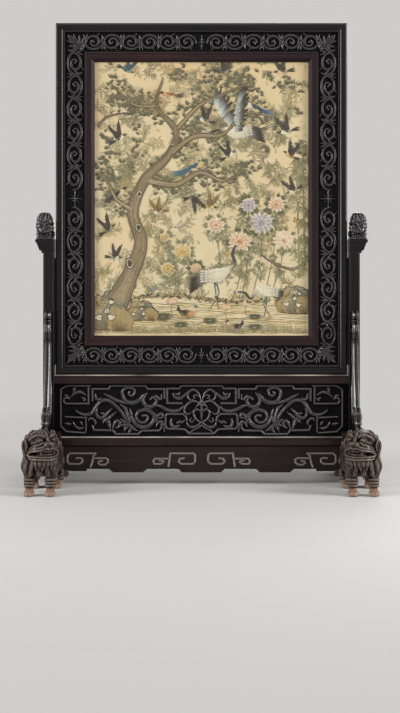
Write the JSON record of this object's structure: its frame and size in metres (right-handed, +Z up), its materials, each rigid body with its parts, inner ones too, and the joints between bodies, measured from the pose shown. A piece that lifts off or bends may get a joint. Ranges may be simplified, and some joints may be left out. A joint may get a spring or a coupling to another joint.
{
  "type": "fire screen",
  "caption": "Carved hardwood screen with a framed silk picture that lifts out of a stand with grooved posts, lion feet and lion finials.",
  "frame": {"origin": "on the floor under the middle of the stand", "axes": "+Z up, the picture faces -Y, +X to the right seen from the front"},
  "size_m": [0.8526, 0.4864, 1.1503],
  "materials": {
    "dark_rosewood": "waxed, half gloss",
    "warm_rosewood": "waxed, half gloss",
    "lion_wood": "worn wax",
    "backing_pine": "bare, darkened with age",
    "silk": "satin with silk embroidery"
  },
  "bodies": {
    "stand": {"apron_front": "warm_rosewood", "apron_rear": "warm_rosewood", "carved_panel": "dark_rosewood", "finial_lion_left": "dark_rosewood", "finial_lion_right": "dark_rosewood", "foot_block_left": "lion_wood", "foot_block_right": "lion_wood", "foot_lion_front_left": "lion_wood", "foot_lion_front_right": "lion_wood", "foot_lion_rear_left": "lion_wood", "foot_lion_rear_right": "lion_wood", "lower_rail": "warm_rosewood", "plinth_left": "dark_rosewood", "plinth_right": "dark_rosewood", "post_left": "dark_rosewood", "post_right": "dark_rosewood", "spandrel_front_left": "dark_rosewood", "spandrel_front_right": "dark_rosewood", "spandrel_rear_left": "dark_rosewood", "spandrel_rear_right": "dark_rosewood", "upper_rail": "warm_rosewood"},
    "screen": {"backing_batten_lower": "backing_pine", "backing_batten_upper": "backing_pine", "backing_board": "backing_pine", "carved_border_bottom": "dark_rosewood", "carved_border_left": "dark_rosewood", "carved_border_right": "dark_rosewood", "carved_border_top": "dark_rosewood", "moulding_bottom": "dark_rosewood", "moulding_left": "dark_rosewood", "moulding_right": "dark_rosewood", "moulding_top": "dark_rosewood", "retaining_bead_bottom": "warm_rosewood", "retaining_bead_left": "warm_rosewood", "retaining_bead_right": "warm_rosewood", "retaining_bead_top": "warm_rosewood", "sight_frame_bottom": "warm_rosewood", "sight_frame_left": "warm_rosewood", "sight_frame_right": "warm_rosewood", "sight_frame_top": "warm_rosewood", "silk_picture": "silk"}
  },
  "joints": [
    {"name": "screen_lift", "type": "slide", "parent": "stand", "child": "screen", "axis": [0, 0, 1], "range_m": [0, 0.3]}
  ]
}
